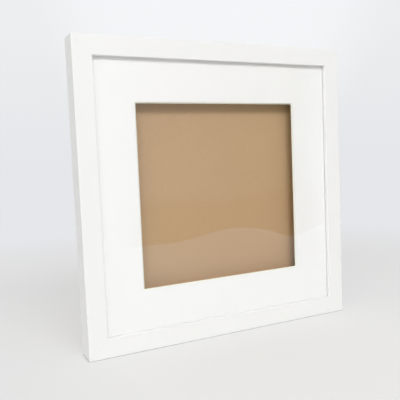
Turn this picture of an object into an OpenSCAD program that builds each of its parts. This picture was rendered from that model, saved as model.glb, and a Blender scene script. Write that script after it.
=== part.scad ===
// Square box picture frame with a bevelled mat, a set-back board, bend-over tabs and ring hangers.
// X runs to the right seen from the front, Y from the front to the back, Z up.
// The origin is the middle of the bottom face, half-way through the depth of the rails.

/* [Sheets] */
// Width of the sheets that the frame holds
sheet_w = 300; // [180:1:600]
// Height of the sheets that the frame holds
sheet_h = 300; // [180:1:600]
// Half of the play that the sheets have between the side rails
side_play = 1.5; // [0.4:0.1:2]
// Half of the play that the sheets have between the top and the bottom rail
top_play = 1; // [0.4:0.1:2]
// Thickness of the clear plastic glazing
glazing_t = 0.8; // [0.6:0.1:3]
// Thickness of the mat board
mat_t = 1.4; // [1:0.1:3]
// Width of the mat from its outer edge to the narrow back edge of its window
mat_border = 51; // [25:0.5:80]
// Thickness of the backing board
board_t = 3; // [2:0.1:6]

/* [Spacers] */
// Depth of the strips that hold the board behind the mat
spacer_d = 12; // [4:0.5:30]
// Width of the strips seen from the front
spacer_w = 8; // [4:0.5:14]
// Gap at each butt joint of the strips
spacer_gap = 0.2; // [0.1:0.1:0.5]

/* [Rails] */
// Width of a rail outside its rabbet
wall_w = 14.5; // [13:0.1:30]
// Width of the lip that covers the edge of the sheets
lip_w = 6.3; // [4:0.1:12]
// Thickness of the lip
lip_t = 4.2; // [2:0.1:8]
// Room behind the backing board
back_recess = 5.2; // [4:0.1:20]
// Radius of the eased outer edges
edge_r = 0.8; // [0.3:0.1:2]
// Radius of the eased edges of the lip and the rabbet
sight_r = 1; // [0.2:0.1:1.5]

/* [Corner nails] */
// Length of each leg of a corner nail
nail_leg = 4.4; // [3:0.1:5]
// Thickness of a corner nail's steel
nail_t = 0.6; // [0.4:0.1:1]
// Depth that a corner nail reaches into the wood
nail_h = 10; // [5:0.5:14]
// Depth that a corner nail is sunk below the back
nail_sink = 0.6; // [0.2:0.1:2]

/* [Tabs] */
// Width of a bend-over tab
tab_w = 6; // [4:0.5:10]
// Thickness of a tab's steel
tab_t = 0.6; // [0.4:0.1:1]
// Length of a tab that lies over the board
tongue_len = 9; // [7:0.5:14]
// Length of a tab that is driven into the rail
shank_len = 8; // [5:0.5:11]
// Length of the point at the end of the driven part
point_len = 2.4; // [1:0.1:4]

/* [Ring hangers] */
// Thickness of the folded strap's steel
strap_t = 0.8; // [0.5:0.1:1.2]
// Length of the strap's back leaf below the ring's axis
back_leaf = 26; // [25:0.5:32]
// How much shorter the strap's front leaf is
leaf_step = 2; // [1:0.5:3]
// Thickness of the ring's wire
wire_d = 2; // [1.6:0.1:2.2]
// Width inside the ring
ring_in = 10; // [9.4:0.1:11]
// Drop from the ring's axis to the middle of its lowest wire
ring_drop = 11; // [10:0.1:12]
// Bend of the wire beside the strap
ring_bend = 2; // [1.5:0.1:2.2]
// Drop from the ring's axis to the screw
screw_drop = 19; // [17.5:0.5:20]
// Distance from the upper side tabs down to the ring's axis
hanger_below_tab = 16; // [14:1:30]
// Distance of a hanger from the middle of the rail's wall, towards the sheets
hanger_in = 1.5; // [0:0.1:2]
// Radius of the hanger screw's head
screw_head_r = 2.9; // [2.4:0.1:3.4]
// Height of the hanger screw's head
screw_head_h = 1.6; // [1.2:0.1:2.2]
// Radius of the hanger screw's shank
screw_r = 1.4; // [1:0.1:1.8]
// Length of the hanger screw under its head
screw_len = 12; // [8:1:16]

/* [Wall bumpers] */
// Radius of a wall bumper
bumper_r = 4.5; // [3:0.1:6]
// Thickness of a wall bumper
bumper_h = 3.5; // [2:0.1:5]
// Distance from a bumper's middle to the side of the frame
bumper_in = 40; // [25:1:60]

/* [Hidden] */
$fn = 64;

// One overrun for all cuts
over = 1;
// Play of the steel pieces in the wood
steel_play = 0.05;
// Gap between a tab at rest and the board, and between its root and the rail
tab_gap = 0.1;
// Play of the ring's wire in the strap, and of the screw in the strap
strap_play = 0.1;
// Gap between the hanging ring and the strap
ring_rest_gap = 0.4;
// Gap between the strap and the ring's bends on each side
strap_side_gap = 0.2;
// Places of the two corner nails, as shares of the wall from the outer corner
nail_shares = [0.24, 0.6];
// Places of the tabs, as a share of the sheet on each side of its middle
tab_share = 0.25;
// Length of the screw's point and size of its cross slot, as shares of its own radii and height
screw_point_share = 2;
slot_length_share = 0.62;
slot_width_share = 0.2;
slot_depth_share = 0.6;
// Eased edge of a bumper, as a share of its thickness
bumper_edge_share = 0.25;

// Sizes of the assembled rails
rail_w = wall_w + lip_w;
rail_d = lip_t + glazing_t + mat_t + spacer_d + board_t + back_recess;
outer_w = sheet_w + 2 * side_play + 2 * wall_w;
outer_h = sheet_h + 2 * top_play + 2 * wall_w;

// The layers from the front to the back
front_y = -rail_d / 2;
glazing_y = front_y + lip_t;
mat_y = glazing_y + glazing_t;
spacer_y = mat_y + mat_t;
board_y = spacer_y + spacer_d;
board_back_y = board_y + board_t;
rear_y = rail_d / 2;

// The sheets stand on the bottom rail and have slid against the left one
sheet_x = -side_play;
sheet_z = wall_w;
window_w = sheet_w - 2 * mat_border;
window_h = sheet_h - 2 * mat_border;
window_z = sheet_z + sheet_h / 2;

// The sides of the frame, each drawn as the bottom one and turned about Y
SIDES = ["top", "bottom", "left", "right"];
function is_upright(side) = side == "left" || side == "right";
function turn(side) = is_upright(side) ? (side == "left" ? 90 : -90) : (side == "top" ? 180 : 0);
function rail_length(side) = is_upright(side) ? outer_h : outer_w;
function sheet_length(side) = is_upright(side) ? sheet_h : sheet_w;
function span(side) = is_upright(side) ? outer_w : outer_h;

// The tabs lie just behind the board and turn about an axis just inside the rail
tab_y = board_back_y + tab_gap + tab_t / 2;
tab_axis = wall_w + tab_gap + tab_t / 2;
tab_x = tab_share * sheet_w;
tab_z = tab_share * sheet_h;

// The hangers
wire_r = wire_d / 2;
loop_in_r = wire_r + strap_play;
loop_out_r = loop_in_r + strap_t;
hanger_x = outer_w / 2 - wall_w / 2 - hanger_in;
hanger_z = outer_h / 2 + tab_z - hanger_below_tab;
hanger_y = rear_y + loop_out_r;
ring_r = ring_in / 2 + wire_r;
strap_w = 2 * (ring_r - ring_bend - strap_side_gap);
front_leaf = back_leaf - leaf_step;
ring_lean = asin((2 * strap_t + wire_r + ring_rest_gap - loop_out_r) / ring_drop);
screw_y = rear_y + 2 * strap_t;
screw_z = hanger_z - screw_drop;

// What is left of a square corner outside a quarter circle, at the origin
module corner_cut(r) {
  difference() {
    translate([-over, -over]) square(r + over);
    translate([r, r]) circle(r);
  }
}

// Puts children drawn for the bottom rail on another side of the frame
module on_side(side) {
  translate([0, 0, outer_h / 2])
    rotate([0, turn(side), 0])
      translate([0, 0, -span(side) / 2])
        children();
}

// Extrudes a shape drawn in X and Z along Y, between two places
module slab(from_y, to_y) {
  translate([0, to_y, 0]) rotate([90, 0, 0]) linear_extrude(to_y - from_y) children();
}

// Section of a rail: depth along X, width from the outer edge along Y
module rail_profile() {
  difference() {
    union() {
      translate([front_y, 0]) square([rail_d, wall_w]);
      translate([front_y, 0]) square([lip_t, rail_w]);
    }
    translate([front_y, 0]) corner_cut(edge_r);
    translate([rear_y, 0]) mirror([1, 0]) corner_cut(edge_r);
    translate([front_y, rail_w]) mirror([0, 1]) corner_cut(sight_r);
    translate([rear_y, wall_w]) rotate(180) corner_cut(sight_r);
  }
}

// Outline of a rail with both mitres, seen from the front
module mitre_outline(length) {
  half = length / 2;
  reach = rail_w + over;
  difference() {
    polygon([
      [-half - over, -over], [half + over, -over],
      [half - reach, reach], [-half + reach, reach]
    ]);
    translate([-half, 0]) corner_cut(edge_r);
    translate([half, 0]) mirror([1, 0]) corner_cut(edge_r);
  }
}

// Outline of a corner nail, grown by a play
module nail_outline(play) {
  reach = nail_leg + play;
  inner = nail_t + play;
  polygon([
    [-play, -play], [reach, -play], [reach, inner],
    [inner, inner], [inner, reach], [-play, reach]
  ]);
}

// Two corner nails in each corner, or the slots that they are driven into
module nails(play, back_y) {
  for (side = SIDES, share = nail_shares)
    on_side(side)
      slab(rear_y - nail_sink - nail_h - play, back_y)
        translate([share * wall_w - rail_length(side) / 2, share * wall_w])
          nail_outline(play);
}

// Outline of the driven part of a tab, grown by a play
module shank_outline(play) {
  half = tab_w / 2 + play;
  tip = wall_w - shank_len - play;
  polygon([
    [-half, wall_w], [-half, tip + point_len],
    [0, tip], [half, tip + point_len], [half, wall_w]
  ]);
}

// The driven part of one tab, or its slot
module shank(play) {
  slab(tab_y - tab_t / 2 - play, tab_y + tab_t / 2 + play) shank_outline(play);
}

// The two tabs' places along a side
module tab_pair(side) {
  place = tab_share * sheet_length(side);
  for (along = [-place, place])
    on_side(side) translate([along, 0, 0]) children();
}

// The part of a tab that lies over the board, turning about its rounded root
module tongue(side, along) {
  color([0.72, 0.73, 0.75])
    on_side(side)
      translate([along, tab_y, tab_axis]) {
        rotate([0, 90, 0]) cylinder(d = tab_t, h = tab_w, center = true);
        slab(-tab_t / 2, tab_t / 2) {
          translate([-tab_w / 2, 0]) square([tab_w, tongue_len - tab_w / 2]);
          translate([0, tongue_len - tab_w / 2]) circle(tab_w / 2);
        }
      }
}

// A whole rail with its corner slots and tab slots
module rail(side) {
  length = rail_length(side);
  difference() {
    on_side(side)
      intersection() {
        rotate([90, 0, 90]) linear_extrude(length + 2 * over, center = true) rail_profile();
        slab(front_y - over, rear_y + over) mitre_outline(length);
      }
    nails(steel_play, rear_y + over);
    tab_pair(side) shank(steel_play);
  }
}

module rail_top() {
  color([0.96, 0.96, 0.95]) rail("top");
}

module rail_bottom() {
  color([0.95, 0.95, 0.94]) rail("bottom");
}

// A side rail is drilled for its hanger's screw
module side_rail(side, x) {
  difference() {
    rail(side);
    translate([x, screw_y, screw_z]) screw_shank(steel_play, over);
  }
}

module rail_left() {
  color([0.93, 0.93, 0.92]) side_rail("left", -hanger_x);
}

module rail_right() {
  color([0.94, 0.94, 0.93]) side_rail("right", hanger_x);
}

module corner_nails() {
  color([0.6, 0.6, 0.62]) nails(0, rear_y - nail_sink);
}

// A flat sheet of the full size, between two places in the depth
module sheet(from_y, to_y) {
  slab(from_y, to_y) translate([sheet_x - sheet_w / 2, sheet_z]) square([sheet_w, sheet_h]);
}

module glazing_sheet() {
  color([0.85, 0.92, 0.95, 0.3]) sheet(glazing_y, mat_y);
}

// One direction of the window's 45 degree bevel, wide at the front
module bevel_wedge(narrow, length) {
  front_half = narrow / 2 + mat_t + over;
  back_half = narrow / 2 - over;
  linear_extrude(length, center = true)
    polygon([
      [-front_half, mat_y - over], [front_half, mat_y - over],
      [back_half, spacer_y + over], [-back_half, spacer_y + over]
    ]);
}

module mat_board() {
  color([0.97, 0.97, 0.96])
    difference() {
      sheet(mat_y, spacer_y);
      translate([sheet_x, 0, window_z])
        intersection() {
          bevel_wedge(window_w, sheet_h);
          rotate([0, 90, 0]) bevel_wedge(window_h, sheet_w);
        }
    }
}

// A spacer strip, its lower left corner measured from that of the sheets
module spacer(right, up, width, height) {
  color([0.9, 0.88, 0.84])
    slab(spacer_y, board_y)
      translate([sheet_x - sheet_w / 2 + right, sheet_z + up]) square([width, height]);
}

// An upright strip stands between the level ones
module upright_spacer(right) {
  below = spacer_w + spacer_gap;
  spacer(right, below, spacer_w, sheet_h - 2 * below);
}

module spacer_top() {
  spacer(0, sheet_h - spacer_w, sheet_w, spacer_w);
}

module spacer_bottom() {
  spacer(0, 0, sheet_w, spacer_w);
}

module spacer_left() {
  upright_spacer(0);
}

module spacer_right() {
  upright_spacer(sheet_w - spacer_w);
}

module backing_board() {
  color([0.71, 0.59, 0.46]) sheet(board_y, board_back_y);
}

module tab_top_left() {
  tongue("top", tab_x);
}

module tab_top_right() {
  tongue("top", -tab_x);
}

module tab_bottom_left() {
  tongue("bottom", -tab_x);
}

module tab_bottom_right() {
  tongue("bottom", tab_x);
}

module tab_left_upper() {
  tongue("left", -tab_z);
}

module tab_left_lower() {
  tongue("left", tab_z);
}

module tab_right_upper() {
  tongue("right", tab_z);
}

module tab_right_lower() {
  tongue("right", -tab_z);
}

module tab_shanks() {
  color([0.62, 0.63, 0.65])
    for (side = SIDES) tab_pair(side) shank(0);
}

// A leaf of the folded strap with a round end, the origin at the ring's axis
module strap_leaf(length, from_y) {
  slab(from_y, from_y + strap_t) {
    translate([-strap_w / 2, strap_w / 2 - length]) square([strap_w, length - strap_w / 2]);
    translate([0, strap_w / 2 - length]) circle(strap_w / 2);
  }
}

// The strap folds round the ring's wire and lies double under the screw
module hanger_strap(x) {
  color([0.78, 0.77, 0.74])
    translate([x, hanger_y, hanger_z])
      difference() {
        union() {
          rotate([0, 90, 0]) cylinder(r = loop_out_r, h = strap_w, center = true);
          strap_leaf(back_leaf, -loop_out_r);
          strap_leaf(front_leaf, strap_t - loop_out_r);
        }
        rotate([0, 90, 0]) cylinder(r = loop_in_r, h = strap_w + 2 * over, center = true);
        translate([0, 2 * strap_t - loop_out_r, -screw_drop]) screw_shank(strap_play, over);
      }
}

module hanger_strap_left() {
  hanger_strap(-hanger_x);
}

module hanger_strap_right() {
  hanger_strap(hanger_x);
}

// An arc of the ring's wire about the origin, in X and Z, from one angle to another
module wire_arc(r, from_a, to_a) {
  rotate([90, 0, 0])
    rotate([0, 0, from_a])
      rotate_extrude(angle = to_a - from_a)
        translate([r, 0]) circle(wire_r);
}

// The bend beside the strap and the straight arm below it, on one side of the ring
module ring_arm() {
  translate([ring_r - ring_bend, 0, -ring_bend]) wire_arc(ring_bend, 0, 90);
  translate([ring_r, 0, ring_r - ring_drop]) cylinder(r = wire_r, h = ring_drop - ring_r - ring_bend);
}

// A D ring that hangs from its straight bar and leans on nothing
module hanger_ring(x) {
  color([0.8, 0.79, 0.76])
    translate([x, hanger_y, hanger_z])
      rotate([ring_lean, 0, 0]) {
        rotate([0, 90, 0]) cylinder(r = wire_r, h = 2 * (ring_r - ring_bend), center = true);
        ring_arm();
        mirror([1, 0, 0]) ring_arm();
        translate([0, 0, ring_r - ring_drop]) wire_arc(ring_r, 180, 360);
      }
}

module hanger_ring_left() {
  hanger_ring(-hanger_x);
}

module hanger_ring_right() {
  hanger_ring(hanger_x);
}

// The screw's shank and point run to the front from the underside of its head.
// A hole for them is wider by a play and starts further back by a lead.
module screw_shank(play, lead) {
  point = screw_point_share * screw_r;
  rotate([90, 0, 0]) {
    translate([0, 0, -lead]) cylinder(r = screw_r + play, h = screw_len - point + lead);
    translate([0, 0, screw_len - point]) cylinder(r1 = screw_r + play, r2 = play, h = point);
  }
}

// A domed head with a cross slot, its underside at the origin and its top to the back
module screw_head() {
  ball_r = (screw_head_r * screw_head_r + screw_head_h * screw_head_h) / (2 * screw_head_h);
  slot = [slot_length_share, slot_width_share] * 2 * screw_head_r;
  rotate([-90, 0, 0])
    difference() {
      intersection() {
        cylinder(r = screw_head_r + over, h = screw_head_h + over);
        translate([0, 0, screw_head_h - ball_r]) sphere(ball_r);
      }
      for (angle = [0, 90])
        rotate([0, 0, angle])
          translate([-slot[0] / 2, -slot[1] / 2, (1 - slot_depth_share) * screw_head_h])
            cube([slot[0], slot[1], screw_head_h]);
    }
}

module hanger_screws() {
  color([0.7, 0.69, 0.66])
    for (x = [-hanger_x, hanger_x])
      translate([x, screw_y, screw_z]) {
        screw_head();
        screw_shank(0, 0);
      }
}

module wall_bumpers() {
  color([0.35, 0.35, 0.36])
    for (x = [bumper_in - outer_w / 2, outer_w / 2 - bumper_in])
      translate([x, rear_y, wall_w / 2])
        rotate([-90, 0, 0])
          rotate_extrude()
            difference() {
              square([bumper_r, bumper_h]);
              translate([bumper_r, bumper_h]) rotate(180) corner_cut(bumper_edge_share * bumper_h);
            }
}

rail_top();
rail_bottom();
rail_left();
rail_right();
corner_nails();
glazing_sheet();
mat_board();
spacer_top();
spacer_bottom();
spacer_left();
spacer_right();
backing_board();
tab_top_left();
tab_top_right();
tab_bottom_left();
tab_bottom_right();
tab_left_upper();
tab_left_lower();
tab_right_upper();
tab_right_lower();
tab_shanks();
hanger_strap_left();
hanger_strap_right();
hanger_ring_left();
hanger_ring_right();
hanger_screws();
wall_bumpers();
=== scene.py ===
import math

import bpy
from mathutils import Matrix, Vector


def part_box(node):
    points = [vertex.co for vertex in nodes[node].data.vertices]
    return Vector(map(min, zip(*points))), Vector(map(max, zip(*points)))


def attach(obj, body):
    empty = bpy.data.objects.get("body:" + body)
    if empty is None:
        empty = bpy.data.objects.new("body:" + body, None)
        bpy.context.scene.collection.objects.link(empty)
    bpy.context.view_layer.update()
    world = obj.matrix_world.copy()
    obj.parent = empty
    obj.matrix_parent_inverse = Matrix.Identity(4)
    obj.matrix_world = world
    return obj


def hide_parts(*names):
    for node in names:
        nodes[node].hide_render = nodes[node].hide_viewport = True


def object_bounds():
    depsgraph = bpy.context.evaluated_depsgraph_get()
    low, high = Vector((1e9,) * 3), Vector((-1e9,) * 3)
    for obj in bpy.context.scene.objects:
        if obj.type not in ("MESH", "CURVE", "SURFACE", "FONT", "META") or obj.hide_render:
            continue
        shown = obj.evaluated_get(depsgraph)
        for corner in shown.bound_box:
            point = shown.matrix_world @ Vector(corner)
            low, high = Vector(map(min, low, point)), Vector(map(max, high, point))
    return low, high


# A white box frame for square sheets: camera, light and the finish of every piece.
# Metres; X to the right seen from the front, Y to the back, Z up.
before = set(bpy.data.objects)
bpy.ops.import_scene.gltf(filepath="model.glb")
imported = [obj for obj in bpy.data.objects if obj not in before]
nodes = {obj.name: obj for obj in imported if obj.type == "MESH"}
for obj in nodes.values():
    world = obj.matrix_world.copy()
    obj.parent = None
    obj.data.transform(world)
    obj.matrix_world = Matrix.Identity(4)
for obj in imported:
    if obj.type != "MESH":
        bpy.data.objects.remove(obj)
cad_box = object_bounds()

MM = 0.001

# The photograph's viewpoint: place, turns in radians, lens and width of its sensor in millimetres,
# and the nearest distance that shows
CAMERA_PLACE = Vector((-0.29331, -0.5452, 0.20449))
CAMERA_YAW = -0.45538
CAMERA_PITCH = -0.07963
CAMERA_ROLL = -0.04137
CAMERA_LENS = 48.24
CAMERA_SENSOR = 36
CAMERA_NEAR = 10 * MM

# The key light is a large panel in front of the frame and above it, the fill a nearer one on its left.
# Their angles are above and to the left of straight ahead, and their power is in watts.
LIGHT_TARGET = Vector((0, 0, 0.165))
KEY = {
    "distance": 4.0,
    "above": math.radians(40),
    "left": math.radians(4),
    "width": 2.6,
    "height": 1.12,
    "power": 70.5,
}
FILL = {
    "distance": 2.4,
    "above": math.radians(30),
    "left": math.radians(42),
    "width": 2.1,
    "height": 0.8,
    "power": 12.1,
}

# The room's light from in front and from behind, and the directions' Y between which it changes
FRONT_LIGHT = 0.455
BACK_LIGHT = 0.81
LIGHT_TURN = (-0.2, 0.5)

# The backdrop turns from the horizon's colour to the sky's between these directions' Z, and has a
# soft bright patch: its direction, and the cosines of its rim and of its middle
SKY_RISE = (0.0, 0.35)
HALO_TOWARDS = (0.4526, 0.848, 0.2744)
HALO_RIM = math.cos(0.32)
HALO_FULL = math.cos(0.14)

# The floor reaches this far to all sides, and is mirrored only as far as this place before the frame
FLOOR_REACH = 3.0
FLOOR_FRONT = -0.66

# A warm dim card stands there, seen only in what mirrors it, and fades out across its two ends
CARD_LEFT_END = 0.12
CARD_RIGHT_END = 0.66
CARD_FADE = 0.06
CARD_HEIGHT = 1.0

# The card is darker below this height, and its colours change from left to right between these places
CARD_DARK_TOP = 0.103
CARD_DARK_FADE = 0.0206
CARD_UPPER_TURN = (0.2, 0.6)
CARD_LOWER_TURN = (0.3, 0.5)

# The floor that is seen has this share of even colour near the frame; it grows to all of it, and the
# colour turns to the horizon's, between these distances
GLOW_NEAR = 0.5
GLOW_START = 0.45
GLOW_END = 0.95

# How near a piece must be to shade the floor that it touches
CONTACT_REACH = 2.5 * MM

# The sides of two patches of the floor, each from where it starts to where it is full: painted light
# that makes it paler before the frame, and one in front on the right that is dimmer only in what
# mirrors it
PALE_LEFT = (-0.25, -0.13)
PALE_RIGHT = (0.30, 0.12)
PALE_BACK = (0.02, -0.015)
DIM_LEFT = (0.10, 0.30)
DIM_BACK = (-0.15, -0.28)

# Linear colours of the stage
FLOOR_COLOUR = (0.78, 0.777, 0.765)
NEAR_FLOOR_COLOUR = (0.79, 0.79, 0.80)
PAINTED_LIGHT_FLOOR_COLOUR = (0.865, 0.863, 0.848)
MIRRORED_FLOOR_COLOUR = (0.55, 0.40, 0.40)
HORIZON_COLOUR = (0.79, 0.797, 0.82)
SKY_COLOUR = (0.86, 0.88, 0.885)
HALO_COLOUR = (0.90, 0.917, 0.935)
CARD_DARK = (0.47, 0.28, 0.08)
CARD_DARK_RIGHT = (0.34, 0.14, 0.0)
CARD_LEFT = (0.64, 0.51, 0.42)
CARD_RIGHT = (0.28, 0.18, 0.02)
WHITE = (1, 1, 1)

# Places of the Mix node's two colours among its inputs, and of their mixture among its outputs
MIX_COLOURS = (6, 7)
MIX_RESULT = 2

# Most of a noise lies between these values
NOISE_LOW = 0.3
NOISE_HIGH = 0.7

# A face starts to count as facing along an axis, and fully does, at these parts of its direction
TURN_START = 0.2
TURN_FULL = 0.8
UPWARD_START = 0.1
UPWARD_FULL = 0.6
FLAT_START = 0.8
FLAT_FULL = 0.9

# White lacquer: its colour, the tone of its clouds and mitres, and the painted shade and painted light
# on some of its faces
LACQUER_COLOUR = (0.875, 0.875, 0.862)
LACQUER_CLOUD_SHADE = 0.992
MITRE_SHADE = 0.90
UPWARD_PAINTED_SHADE = 0.955
LOW_LIP_PAINTED_SHADE = 0.93
SIDE_TOP_PAINTED_SHADE = 0.955
SIGHT_EDGE_PAINTED_LIGHT = 1.05

# Lacquer: its roughness, how much it mirrors, the size and depth of its clouds and specks, and how
# far from the joint a mitre's line is full and where it ends
LACQUER_ROUGHNESS = (0.36, 0.44)
LACQUER_SPECULAR = 0.4
LACQUER_CLOUD = 60 * MM
LACQUER_SPECK = 1.1 * MM
LACQUER_CLOUD_DEPTH = 0.15 * MM
LACQUER_SPECK_DEPTH = 0.02 * MM
MITRE_LINE = 0.05 * MM
MITRE_FADE = 0.2 * MM

# Where the faces with painted shade and painted light are, from where it starts to where it is full:
# the bottom lip by its height, the left side by its place and its height, and the lip's upright inner
# faces by their distance from the middle
LOW_LIP = (40 * MM, 30 * MM)
LEFT_SIDE = (-150 * MM, -160 * MM)
SIDE_TOP = (150 * MM, 300 * MM)
SIGHT_EDGE = (148 * MM, 146 * MM)

# Mat board: colours of its face, core and back, the tone of its clouds, and the painted light that
# makes its rim paler
MAT_COLOUR = (0.935, 0.94, 0.932)
CORE_COLOUR = (0.92, 0.95, 0.85)
MAT_BACK_COLOUR = (0.60, 0.58, 0.53)
MAT_CLOUD_SHADE = 0.993
MAT_RIM_PAINTED_LIGHT = 1.038

# Mat board: its roughness, how much it mirrors, the size of its clouds and its felt, the felt's
# depth, and where the rim's painted light starts and is full
MAT_ROUGHNESS = 0.85
MAT_SPECULAR = 0.25
MAT_CLOUD = 30 * MM
MAT_FELT = 0.9 * MM
MAT_FELT_DEPTH = 0.03 * MM
MAT_RIM_BOTTOM = (25 * MM, 21 * MM)
MAT_RIM_LEFT = (-140 * MM, -144 * MM)

# The mat's window: how far the bevel's back edge is from the mat's rim, the soft front edge, the skin
# behind that, the flat margin beside it, the bevel's slope, and the turn from which an edge is sharp
MAT_BORDER = 51 * MM
MAT_EDGE = 0.12 * MM
MAT_SKIN = 0.22 * MM
MAT_MARGIN = 0.4 * MM
MAT_SLOPE = math.radians(45)
MAT_SHARP = math.radians(30)

# The soft edge's middle corner, as shares of its size across and deep
MAT_EDGE_ACROSS_SHARE = 0.4
MAT_EDGE_DEEP_SHARE = 0.2

# Fibreboard: its colour, the paler and warmer colour of painted light at its foot in the window, and
# where that starts and is full
BOARD_COLOUR = (0.533, 0.359, 0.205)
BOARD_PAINTED_LIGHT_COLOUR = (0.66, 0.42, 0.217)
BOARD_PAINTED_LIGHT = (71 * MM, 63 * MM)

# Fibreboard: its roughness, how much it mirrors, the size of its fibres, blotches and clouds, and
# the fibres' depth and how they are drawn out along X, Y and Z
BOARD_ROUGHNESS = 0.72
BOARD_SPECULAR = 0.3
BOARD_FIBRE = 1.2 * MM
BOARD_BLOTCH = 22 * MM
BOARD_CLOUD = 90 * MM
BOARD_FIBRE_DEPTH = 0.02 * MM
BOARD_FIBRE_STRETCH = (1, 1, 2.2)

# Fibreboard: darkest and palest tone of the fibres, the tone and share of blotches and clouds, and
# the values of their noise between which the blotches grow
FIBRE_DARK_SHADE = 0.93
FIBRE_PALE_SHADE = 1.05
BLOTCH_SHADE = 0.93
BLOTCH_SHARE = 0.35
BLOTCH_RANGE = (0.25, 0.75)
BOARD_CLOUD_SHADE = 1.06
BOARD_CLOUD_SHARE = 0.25

# Spacer strips: their roughness, and the colours, size and depth of the grain
STRIP_ROUGHNESS = 0.8
STRIP_DARK = (0.80, 0.79, 0.75)
STRIP_PALE = (0.88, 0.875, 0.85)
STRIP_GRAIN = 1.5 * MM
STRIP_DEPTH = 0.05 * MM

# Steels: colour, roughness, how streaks are drawn out along X, Y and Z, and their depth
TAB_STEEL = ((0.60, 0.61, 0.62), 0.33, (1, 1, 6), 0.004 * MM)
NAIL_STEEL = ((0.50, 0.50, 0.52), 0.42, (1, 6, 1), 0.006 * MM)
PLATED_STEEL = ((0.66, 0.645, 0.61), 0.22, (1, 1, 4), 0.0012 * MM)

# Steels: size of streaks and patches, their tones, the streaks' range and share, and how much
# smoother and rougher the streaks make the metal
STEEL_STREAK = 0.5 * MM
STEEL_PATCH = 5 * MM
STEEL_PATCH_SHADE = 0.90
STEEL_STREAK_SHADE = 0.94
STEEL_STREAK_RANGE = (0.35, 0.65)
STEEL_STREAK_SHARE = 0.5
STEEL_SMOOTHER = 0.05
STEEL_ROUGHER = 0.07

# Rubber: its roughness, and the colours, size and depth of the grain
RUBBER_ROUGHNESS = 0.62
RUBBER_DARK = (0.09, 0.09, 0.092)
RUBBER_PALE = (0.12, 0.12, 0.122)
RUBBER_GRAIN = 0.7 * MM
RUBBER_DEPTH = 0.03 * MM

# Clear plastic: how much it mirrors seen straight on, how fast that grows to all at a slant, and the
# size of its smears and the roughness between which they vary
MIRROR_STRAIGHT = 0.04
MIRROR_POWER = 5.0
SMEAR = 12 * MM
SMEAR_ROUGHNESS = (0.012, 0.035)

# Waves of the clear sheet: middle and half width across, level of the steepest slope, and that slope
WAVES = [
    (0.008, 0.075, 0.118, 0.0156),
    (0.100, 0.045, 0.110, -0.014),
]

# The length of the waves upwards, the border in which they die out, the sheet's gap to its solid's
# faces, the turn from which an edge is sharp, and the number of cells along a side
WAVE_LENGTH = 120 * MM
WAVE_HOLD = 30 * MM
SHEET_GAP = 0.05 * MM
SHEET_SHARP = math.radians(40)
GLAZING_CELLS = 96


class Tree:
    """A tree of shader nodes under construction."""

    def __init__(self, tree, output):
        self.tree = tree
        self.tree.nodes.clear()
        self.output = self.tree.nodes.new(output)

    def node(self, kind, inputs=None, **settings):
        """A node with some settings, and inputs that are numbers or other nodes' sockets."""
        made = self.tree.nodes.new(kind)
        for name, value in settings.items():
            setattr(made, name, value)
        for name, value in (inputs or {}).items():
            self.give(made.inputs[name], value)
        return made

    def give(self, socket, value):
        """Links a socket to another, or sets its number."""
        if isinstance(value, bpy.types.NodeSocket):
            self.tree.links.new(value, socket)
        else:
            socket.default_value = value

    def place(self):
        """Object coordinates, which are the frame's own because every piece sits at the origin."""
        return self.node("ShaderNodeTexCoord").outputs["Object"]

    def parts(self, vector):
        """A vector's X, Y and Z."""
        return self.node("ShaderNodeSeparateXYZ", {"Vector": vector}).outputs

    def facing(self, kind):
        """The X, Y and Z of a face's direction, by the name of one of the Geometry node's outputs."""
        return self.parts(self.node("ShaderNodeNewGeometry").outputs[kind])

    def noise(self, size, detail=2.0, roughness=0.5, stretch=(1, 1, 1)):
        """Noise whose blotches are about size metres across, drawn out along an axis by stretch."""
        mapped = self.node(
            "ShaderNodeMapping",
            {"Vector": self.place(), "Scale": [1 / (size * times) for times in stretch]},
        )
        made = self.node(
            "ShaderNodeTexNoise",
            {"Vector": mapped.outputs[0], "Scale": 1.0, "Detail": detail, "Roughness": roughness},
        )
        return made.outputs["Fac"]

    def blend(self, amount, low, high):
        """A colour between two, by a socket from 0 to 1."""
        made = self.node("ShaderNodeMix", {"Factor": amount}, data_type="RGBA")
        for place, value in zip(MIX_COLOURS, (low, high)):
            is_socket = isinstance(value, bpy.types.NodeSocket)
            self.give(made.inputs[place], value if is_socket else (*value, 1))
        return made.outputs[MIX_RESULT]

    def remap(self, value, from_low, from_high, to_low=0.0, to_high=1.0, kind="LINEAR"):
        """A value carried from one range to another, and held at its ends."""
        made = self.node(
            "ShaderNodeMapRange",
            {
                "Value": value,
                "From Min": from_low,
                "From Max": from_high,
                "To Min": to_low,
                "To Max": to_high,
            },
            interpolation_type=kind,
        )
        return made.outputs[0]

    def spread(self, noise, low=0.0, high=1.0):
        """Noise that runs from low to high over most of its values."""
        return self.remap(noise, NOISE_LOW, NOISE_HIGH, low, high)

    def maths(self, operation, first, second=0.0):
        made = self.node("ShaderNodeMath", {0: first, 1: second}, operation=operation)
        return made.outputs[0]

    def size(self, value):
        """A number without its sign."""
        return self.maths("ABSOLUTE", value)

    def both(self, first, second):
        """The product of two shares."""
        return self.maths("MULTIPLY", first, second)

    def bump(self, height, depth, below=None):
        inputs = {"Height": height, "Distance": depth, "Strength": 1.0}
        if below is not None:
            inputs["Normal"] = below
        return self.node("ShaderNodeBump", inputs).outputs[0]

    def seen(self):
        """1 for what is looked at, mirrored or seen through something, and 0 for what gives light."""
        path = self.node("ShaderNodeLightPath").outputs
        shown = self.maths("MAXIMUM", path["Is Camera Ray"], path["Is Glossy Ray"])
        return self.maths("MAXIMUM", shown, path["Is Transmission Ray"])

    def mix(self, amount, first, second):
        """A shader between two, by a socket from 0 to 1."""
        made = self.node(
            "ShaderNodeMixShader", {"Fac": amount, 1: first.outputs[0], 2: second.outputs[0]}
        )
        return made.outputs[0]

    def end(self, socket):
        self.give(self.output.inputs["Surface"], socket)


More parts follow.
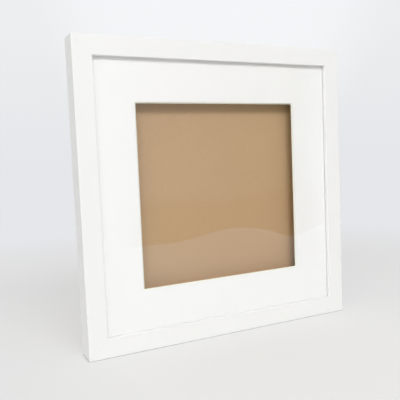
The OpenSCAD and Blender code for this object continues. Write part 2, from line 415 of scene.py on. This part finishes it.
class Finish(Tree):
    """A node material under construction."""

    def __init__(self, name):
        self.material = bpy.data.materials.new(name)
        self.material.use_nodes = True
        super().__init__(self.material.node_tree, "ShaderNodeOutputMaterial")

    def surface(self, **inputs):
        """Ends in a Principled shader; names with underscores stand for the sockets' names."""
        sockets = {name.replace("_", " "): value for name, value in inputs.items()}
        return self.end(self.node("ShaderNodeBsdfPrincipled", sockets).outputs[0])

    def end(self, socket):
        super().end(socket)
        return self.material


def shade(colour, factor):
    return tuple(channel * factor for channel in colour)


def lacquer():
    """Satin white lacquer: fine roller texture, slow waves, a hairline at each mitre, and painted shade
    and painted light on some faces.
    """
    tree = Finish("white_lacquer")
    cloud = tree.noise(LACQUER_CLOUD, detail=3.0)
    speck = tree.noise(LACQUER_SPECK, detail=3.0, roughness=0.6)
    colour = tree.blend(tree.spread(cloud), shade(LACQUER_COLOUR, LACQUER_CLOUD_SHADE), LACQUER_COLOUR)
    colour = tree.blend(mitre_line(tree), colour, shade(LACQUER_COLOUR, MITRE_SHADE))
    colour = painted_face_tones(tree, colour)
    grain = tree.bump(speck, LACQUER_SPECK_DEPTH)
    return tree.surface(
        Base_Color=colour,
        Roughness=tree.spread(speck, *LACQUER_ROUGHNESS),
        Normal=tree.bump(cloud, LACQUER_CLOUD_DEPTH, grain),
        Specular_IOR_Level=LACQUER_SPECULAR,
    )


def mitre_line(tree):
    """1 on the mitres' joint lines and 0 elsewhere."""
    low, high = cad_box
    place = tree.parts(tree.place())
    across = tree.size(tree.maths("SUBTRACT", place["X"], (low.x + high.x) / 2))
    up = tree.size(tree.maths("SUBTRACT", place["Z"], (low.z + high.z) / 2))
    wider = ((high.x - low.x) - (high.z - low.z)) / 2
    away = tree.size(tree.maths("SUBTRACT", tree.maths("SUBTRACT", across, up), wider))
    return tree.remap(away, MITRE_LINE, MITRE_FADE, 1.0, 0.0)


def painted_face_tones(tree, colour):
    """The lacquer's colour, with painted shade on upward faces and the left side's top, and painted
    light on the lip's upright inner faces.
    """
    facing = tree.facing("Normal")
    place = tree.parts(tree.place())
    # Painted shade: upward faces darker, and the bottom lip's upward inner face darker still
    upward_painted_shade = tree.blend(
        tree.remap(place["Z"], *LOW_LIP),
        shade(LACQUER_COLOUR, UPWARD_PAINTED_SHADE),
        shade(LACQUER_COLOUR, LOW_LIP_PAINTED_SHADE),
    )
    colour = tree.blend(tree.remap(facing["Z"], UPWARD_START, UPWARD_FULL), colour, upward_painted_shade)
    # Painted shade: the left side darker towards its top
    leftward = tree.remap(facing["X"], -TURN_START, -TURN_FULL)
    left_side = tree.both(leftward, tree.remap(place["X"], *LEFT_SIDE))
    side_top_painted_shade = tree.both(left_side, tree.remap(place["Z"], *SIDE_TOP))
    colour = tree.blend(side_top_painted_shade, colour, shade(LACQUER_COLOUR, SIDE_TOP_PAINTED_SHADE))
    # Painted light: the lip's upright inner faces paler
    sideward = tree.remap(tree.size(facing["X"]), TURN_START, TURN_FULL)
    sight_edge_painted_light = tree.both(sideward, tree.remap(tree.size(place["X"]), *SIGHT_EDGE))
    return tree.blend(sight_edge_painted_light, colour, shade(LACQUER_COLOUR, SIGHT_EDGE_PAINTED_LIGHT))


def mat_paper():
    """Mat board: a lightly felted white face with painted light along its bottom and left rims, a
    creamy core on the bevel and a duller back.
    """
    tree = Finish("mat_paper")
    felt = tree.noise(MAT_FELT, detail=4.0, roughness=0.65)
    cloud = tree.noise(MAT_CLOUD, detail=2.0)
    face = tree.blend(tree.spread(cloud), shade(MAT_COLOUR, MAT_CLOUD_SHADE), MAT_COLOUR)
    place = tree.parts(tree.place())
    # Painted light: the face paler along its rim beside the bottom and left lips
    rim = tree.maths(
        "MAXIMUM", tree.remap(place["Z"], *MAT_RIM_BOTTOM), tree.remap(place["X"], *MAT_RIM_LEFT)
    )
    face = tree.blend(rim, face, shade(MAT_COLOUR, MAT_RIM_PAINTED_LIGHT))
    backward = tree.facing("True Normal")["Y"]
    slanted = tree.remap(tree.size(backward), FLAT_START, FLAT_FULL, 1.0, 0.0)
    colour = tree.blend(slanted, face, CORE_COLOUR)
    colour = tree.blend(tree.remap(backward, FLAT_START, FLAT_FULL), colour, MAT_BACK_COLOUR)
    return tree.surface(
        Base_Color=colour,
        Roughness=MAT_ROUGHNESS,
        Normal=tree.bump(felt, MAT_FELT_DEPTH),
        Specular_IOR_Level=MAT_SPECULAR,
    )


def fibreboard():
    """Thin brown fibreboard: fine fibres and slow blotches, and painted light that makes its foot
    behind the window paler and warmer.
    """
    tree = Finish("fibreboard")
    fibre = tree.noise(BOARD_FIBRE, detail=5.0, roughness=0.7, stretch=BOARD_FIBRE_STRETCH)
    blotch = tree.noise(BOARD_BLOTCH, detail=3.0)
    cloud = tree.noise(BOARD_CLOUD, detail=2.0)
    # Painted light: the front face paler and warmer at its foot behind the window
    forward = tree.remap(tree.facing("True Normal")["Y"], -TURN_START, -TURN_FULL)
    painted_light_foot = tree.both(forward, tree.remap(tree.parts(tree.place())["Z"], *BOARD_PAINTED_LIGHT))
    dark, pale = [
        tree.blend(painted_light_foot, shade(BOARD_COLOUR, tone), shade(BOARD_PAINTED_LIGHT_COLOUR, tone))
        for tone in (FIBRE_DARK_SHADE, FIBRE_PALE_SHADE)
    ]
    colour = tree.blend(tree.spread(fibre), dark, pale)
    blotches = tree.remap(blotch, *BLOTCH_RANGE, 0.0, BLOTCH_SHARE)
    colour = tree.blend(blotches, colour, shade(BOARD_COLOUR, BLOTCH_SHADE))
    clouds = tree.spread(cloud, 0.0, BOARD_CLOUD_SHARE)
    colour = tree.blend(clouds, colour, shade(BOARD_COLOUR, BOARD_CLOUD_SHADE))
    return tree.surface(
        Base_Color=colour,
        Roughness=BOARD_ROUGHNESS,
        Normal=tree.bump(fibre, BOARD_FIBRE_DEPTH),
        Specular_IOR_Level=BOARD_SPECULAR,
    )


def spacer_strip():
    """Off-white wooden strips with a fine open grain."""
    tree = Finish("spacer_strip")
    grain = tree.noise(STRIP_GRAIN, detail=3.0)
    colour = tree.blend(tree.spread(grain), STRIP_DARK, STRIP_PALE)
    return tree.surface(
        Base_Color=colour, Roughness=STRIP_ROUGHNESS, Normal=tree.bump(grain, STRIP_DEPTH)
    )


def steel(name, colour, roughness, stretch, depth):
    """Steel with fine streaks of a given depth and patches of duller metal."""
    tree = Finish(name)
    streak = tree.noise(STEEL_STREAK, detail=3.0, stretch=stretch)
    patch = tree.noise(STEEL_PATCH, detail=2.0)
    tone = tree.blend(tree.spread(patch), shade(colour, STEEL_PATCH_SHADE), colour)
    streaks = tree.remap(streak, *STEEL_STREAK_RANGE, 0.0, STEEL_STREAK_SHARE)
    tone = tree.blend(streaks, tone, shade(colour, STEEL_STREAK_SHADE))
    rough = tree.spread(streak, roughness - STEEL_SMOOTHER, roughness + STEEL_ROUGHER)
    return tree.surface(Base_Color=tone, Metallic=1.0, Roughness=rough, Normal=tree.bump(streak, depth))


def rubber():
    """Matt dark grey rubber with a fine moulded texture."""
    tree = Finish("bumper_rubber")
    grain = tree.noise(RUBBER_GRAIN, detail=3.0)
    colour = tree.blend(tree.spread(grain), RUBBER_DARK, RUBBER_PALE)
    return tree.surface(
        Base_Color=colour, Roughness=RUBBER_ROUGHNESS, Normal=tree.bump(grain, RUBBER_DEPTH)
    )


def clear_sheet():
    """Thin clear plastic: seen through, with a mirror that grows towards the edge of sight."""
    tree = Finish("clear_sheet")
    slant = tree.node("ShaderNodeLayerWeight").outputs["Facing"]
    growth = tree.maths("MULTIPLY", tree.maths("POWER", slant, MIRROR_POWER), 1 - MIRROR_STRAIGHT)
    mirror = tree.maths("ADD", growth, MIRROR_STRAIGHT)
    rough = tree.spread(tree.noise(SMEAR, detail=3.0), *SMEAR_ROUGHNESS)
    gloss = tree.node("ShaderNodeBsdfGlossy", {"Color": (*WHITE, 1), "Roughness": rough})
    clear = tree.node("ShaderNodeBsdfTransparent", {"Color": (*WHITE, 1)})
    return tree.end(tree.mix(mirror, clear, gloss))


def stage_floor_finish():
    """A plain pale floor that keeps the frame's shadow and fades to the horizon's colour.

    It has painted light that makes it a little paler before the frame, and mirrors show it dimmer in
    front on the right.
    """
    tree = Finish("stage_floor")
    away = tree.node("ShaderNodeVectorMath", {0: tree.place()}, operation="LENGTH").outputs["Value"]
    place = tree.parts(tree.place())
    # Painted light: a paler patch on the floor before the frame
    pale = tree.both(tree.remap(place["X"], *PALE_LEFT), tree.remap(place["X"], *PALE_RIGHT))
    pale = tree.both(pale, tree.remap(place["Y"], *PALE_BACK))
    tone = tree.blend(pale, NEAR_FLOOR_COLOUR, PAINTED_LIGHT_FLOOR_COLOUR)
    dim = tree.both(tree.remap(place["X"], *DIM_LEFT), tree.remap(place["Y"], *DIM_BACK))
    dim = tree.both(dim, tree.node("ShaderNodeLightPath").outputs["Is Glossy Ray"])
    tone = tree.blend(dim, tone, MIRRORED_FLOOR_COLOUR)
    tone = tree.blend(tree.remap(away, GLOW_START, GLOW_END), tone, HORIZON_COLOUR)
    contact = tree.node("ShaderNodeAmbientOcclusion", {"Color": tone, "Distance": CONTACT_REACH})
    even = tree.node("ShaderNodeEmission", {"Color": contact.outputs["Color"], "Strength": 1.0})
    lit = tree.node("ShaderNodeBsdfDiffuse", {"Color": (*FLOOR_COLOUR, 1)})
    glow = tree.both(tree.remap(away, GLOW_START, GLOW_END, GLOW_NEAR, 1.0), tree.seen())
    return tree.end(tree.mix(glow, lit, even))


def stage_card_finish():
    """A dark strip low down, paler above it and most so on the left, that fades out at its ends."""
    tree = Finish("stage_card")
    place = tree.parts(tree.place())
    upper = tree.blend(tree.remap(place["X"], *CARD_UPPER_TURN), CARD_LEFT, CARD_RIGHT)
    lower = tree.blend(tree.remap(place["X"], *CARD_LOWER_TURN), CARD_DARK, CARD_DARK_RIGHT)
    high = tree.remap(place["Z"], CARD_DARK_TOP - CARD_DARK_FADE, CARD_DARK_TOP + CARD_DARK_FADE)
    lit = tree.node("ShaderNodeEmission", {"Color": tree.blend(high, lower, upper), "Strength": 1.0})
    clear = tree.node("ShaderNodeBsdfTransparent", {"Color": (*WHITE, 1)})
    from_left = tree.remap(place["X"], CARD_LEFT_END - CARD_FADE, CARD_LEFT_END + CARD_FADE)
    from_right = tree.remap(place["X"], CARD_RIGHT_END + CARD_FADE, CARD_RIGHT_END - CARD_FADE)
    return tree.end(tree.mix(tree.both(from_left, from_right), clear, lit))


def add_object(name, data):
    made = bpy.data.objects.new(name, data)
    bpy.context.scene.collection.objects.link(made)
    return made


def mesh_object(name, points, faces, material):
    mesh = bpy.data.meshes.new(name)
    mesh.from_pydata(points, [], faces)
    mesh.update()
    mesh.materials.append(material)
    return add_object(name, mesh)


def smooth(piece, sharp):
    """Shades a piece smoothly, apart from its edges that turn by more than an angle."""
    piece.data.shade_smooth()
    piece.data.set_sharp_from_angle(angle=sharp)


def named(start):
    """The nodes whose names begin with a word."""
    return [name for name in nodes if name.startswith(start)]


def paint(material, names):
    for name in names:
        mesh = nodes[name].data
        mesh.materials.clear()
        mesh.materials.append(material)


def ring(low, high, inset, y):
    """The four corners of a rectangle that lies inset from a box's outline, at one depth."""
    left, right = low.x + inset, high.x - inset
    bottom, top = low.z + inset, high.z - inset
    return [(left, y, bottom), (right, y, bottom), (right, y, top), (left, y, top)]


def closed_loft(name, rings, material):
    """Walls between successive rings of four points, the last joined to the first."""
    points = [point for corners in rings for point in corners]
    faces = []
    for index in range(len(rings)):
        here = index * 4
        there = (index + 1) % len(rings) * 4
        for corner in range(4):
            beside = (corner + 1) % 4
            faces.append((here + corner, here + beside, there + beside, there + corner))
    return mesh_object(name, points, faces, material)


def bevelled_mat(name, node, material):
    """The mat board with a softened edge where its bevel meets the face."""
    low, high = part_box(node)
    window = MAT_BORDER - (high.y - low.y)
    edge_across = MAT_EDGE * math.sin(MAT_SLOPE) * MAT_EDGE_ACROSS_SHARE
    edge_deep = MAT_EDGE * MAT_EDGE_DEEP_SHARE
    skin = MAT_EDGE + MAT_SKIN
    rings = [
        ring(low, high, 0, low.y),
        ring(low, high, window - MAT_EDGE - MAT_MARGIN, low.y),
        ring(low, high, window - MAT_EDGE * math.tan(MAT_SLOPE / 2), low.y),
        ring(low, high, window + edge_across, low.y + edge_deep),
        ring(low, high, window + MAT_EDGE, low.y + MAT_EDGE),
        ring(low, high, window + skin, low.y + skin),
        ring(low, high, MAT_BORDER, high.y),
        ring(low, high, MAT_BORDER - MAT_MARGIN, high.y),
        ring(low, high, 0, high.y),
    ]
    made = closed_loft(name, rings, material)
    smooth(made, MAT_SHARP)
    return made


def wave(x, z, low, high):
    """How far the clear sheet bows to the front; nothing at its held edges."""
    turn = 2 * math.pi / WAVE_LENGTH
    bow = 0
    for middle, half_width, level, slope in WAVES:
        across = min(1.0, abs(x - middle) / half_width)
        ridge = math.cos(across * math.pi / 2) ** 2
        bow += ridge * (abs(slope) + slope * math.sin(turn * (z - level))) / turn
    edge = min(x - low.x, high.x - x, z - low.z, high.z - z) / WAVE_HOLD
    hold = max(0.0, min(1.0, edge))
    return bow * hold * hold * (3 - 2 * hold)


def wavy_sheet(name, node, material):
    """A closed thin sheet in the place of a flat one, both faces with the same slow waves."""
    low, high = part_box(node)
    count = GLAZING_CELLS
    places = []
    for row in range(count + 1):
        for column in range(count + 1):
            x = low.x + (high.x - low.x) * column / count
            z = low.z + (high.z - low.z) * row / count
            places.append((x, z, wave(x, z, low, high)))
    points = [(x, low.y + SHEET_GAP - bow, z) for x, z, bow in places]
    points += [(x, high.y - SHEET_GAP - bow, z) for x, z, bow in places]
    side = count + 1
    back = side * side
    faces = []
    for row in range(count):
        for column in range(count):
            here = row * side + column
            above = here + side
            faces.append((here, here + 1, above + 1, above))
            faces.append((back + above, back + above + 1, back + here + 1, back + here))
    rim = [(column, column + 1) for column in range(count)]
    rim += [(row * side + count, (row + 1) * side + count) for row in range(count)]
    rim += [(back - 1 - column, back - 2 - column) for column in range(count)]
    rim += [((count - row) * side, (count - row - 1) * side) for row in range(count)]
    faces += [(end, start, back + start, back + end) for start, end in rim]
    made = mesh_object(name, points, faces, material)
    smooth(made, SHEET_SHARP)
    return made


def camera():
    data = bpy.data.cameras.new("camera")
    data.sensor_width = CAMERA_SENSOR
    data.lens = CAMERA_LENS
    data.clip_start = CAMERA_NEAR
    made = add_object("camera", data)
    made.matrix_world = (
        Matrix.Translation(CAMERA_PLACE)
        @ Matrix.Rotation(CAMERA_YAW, 4, "Z")
        @ Matrix.Rotation(CAMERA_PITCH + math.pi / 2, 4, "X")
        @ Matrix.Rotation(CAMERA_ROLL, 4, "Z")
    )
    bpy.context.scene.camera = made


def panel_light(name, distance, above, left, width, height, power):
    """An oval light that shines on the middle of the frame."""
    level = distance * math.cos(above)
    away = Vector((-level * math.sin(left), -level * math.cos(left), distance * math.sin(above)))
    data = bpy.data.lights.new(name, "AREA")
    data.shape = "ELLIPSE"
    data.size = width
    data.size_y = height
    data.energy = power
    made = add_object(name, data)
    made.location = LIGHT_TARGET + away
    made.rotation_euler = (-away).to_track_quat("-Z", "Y").to_euler()
    made.visible_camera = False


def room():
    """Soft light, stronger from behind; what is looked at or mirrored is a pale backdrop."""
    world = bpy.data.worlds.new("room")
    bpy.context.scene.world = world
    world.use_nodes = True
    tree = Tree(world.node_tree, "ShaderNodeOutputWorld")
    direction = tree.node("ShaderNodeTexCoord").outputs["Generated"]
    parts = tree.parts(direction)
    power = tree.remap(parts["Y"], *LIGHT_TURN, FRONT_LIGHT, BACK_LIGHT)
    light = tree.node("ShaderNodeBackground", {"Color": (*WHITE, 1), "Strength": power})
    tone = tree.blend(tree.remap(parts["Z"], *SKY_RISE), HORIZON_COLOUR, SKY_COLOUR)
    towards = tree.node(
        "ShaderNodeVectorMath", {0: direction, 1: HALO_TOWARDS}, operation="DOT_PRODUCT"
    )
    halo = tree.remap(towards.outputs["Value"], HALO_RIM, HALO_FULL, kind="SMOOTHSTEP")
    backdrop = tree.node("ShaderNodeBackground", {"Color": tree.blend(halo, tone, HALO_COLOUR)})
    tree.end(tree.mix(tree.seen(), light, backdrop))


def floor_strip(name, front, back, material):
    points = [(-FLOOR_REACH, front, 0), (FLOOR_REACH, front, 0)]
    points += [(FLOOR_REACH, back, 0), (-FLOOR_REACH, back, 0)]
    return mesh_object(name, points, [(0, 1, 2, 3)], material)


def card_sheet(name, material):
    """The upright card at the floor's front end, which faces the frame."""
    left, right = CARD_LEFT_END - CARD_FADE, CARD_RIGHT_END + CARD_FADE
    points = [(left, FLOOR_FRONT, 0), (right, FLOOR_FRONT, 0)]
    points += [(right, FLOOR_FRONT, CARD_HEIGHT), (left, FLOOR_FRONT, CARD_HEIGHT)]
    return mesh_object(name, points, [(0, 3, 2, 1)], material)


def stage():
    """The floor, and a dim card that only mirrors show; they don't show the floor beyond the card."""
    finish = stage_floor_finish()
    floor = floor_strip("stage_floor", FLOOR_FRONT, FLOOR_REACH, finish)
    apron = floor_strip("stage_apron", -FLOOR_REACH, FLOOR_FRONT, finish)
    apron.visible_diffuse = False
    apron.visible_glossy = False
    apron.visible_shadow = False
    card = card_sheet("stage_card", stage_card_finish())
    card.visible_camera = False
    card.visible_diffuse = False
    card.visible_shadow = False
    card.visible_transmission = False


def finishes():
    """Paints every node that is carried over, apart from the two that the scene makes again."""
    paint(lacquer(), named("rail_"))
    paint(fibreboard(), ["backing_board"])
    paint(spacer_strip(), named("spacer_"))
    paint(steel("tab_steel", *TAB_STEEL), named("tab_"))
    paint(steel("nail_steel", *NAIL_STEEL), ["corner_nails"])
    paint(steel("plated_steel", *PLATED_STEEL), named("hanger_"))
    paint(rubber(), ["wall_bumpers"])


def mat():
    board = bevelled_mat("mat_bevelled", "mat_board", mat_paper())
    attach(board, "frame")
    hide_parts("mat_board")


def glazing():
    sheet = wavy_sheet("glazing_wavy", "glazing_sheet", clear_sheet())
    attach(sheet, "frame")
    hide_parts("glazing_sheet")


bpy.context.scene.view_settings.view_transform = "Standard"
camera()
panel_light("key", **KEY)
panel_light("fill", **FILL)
room()
stage()
finishes()
mat()
glazing()
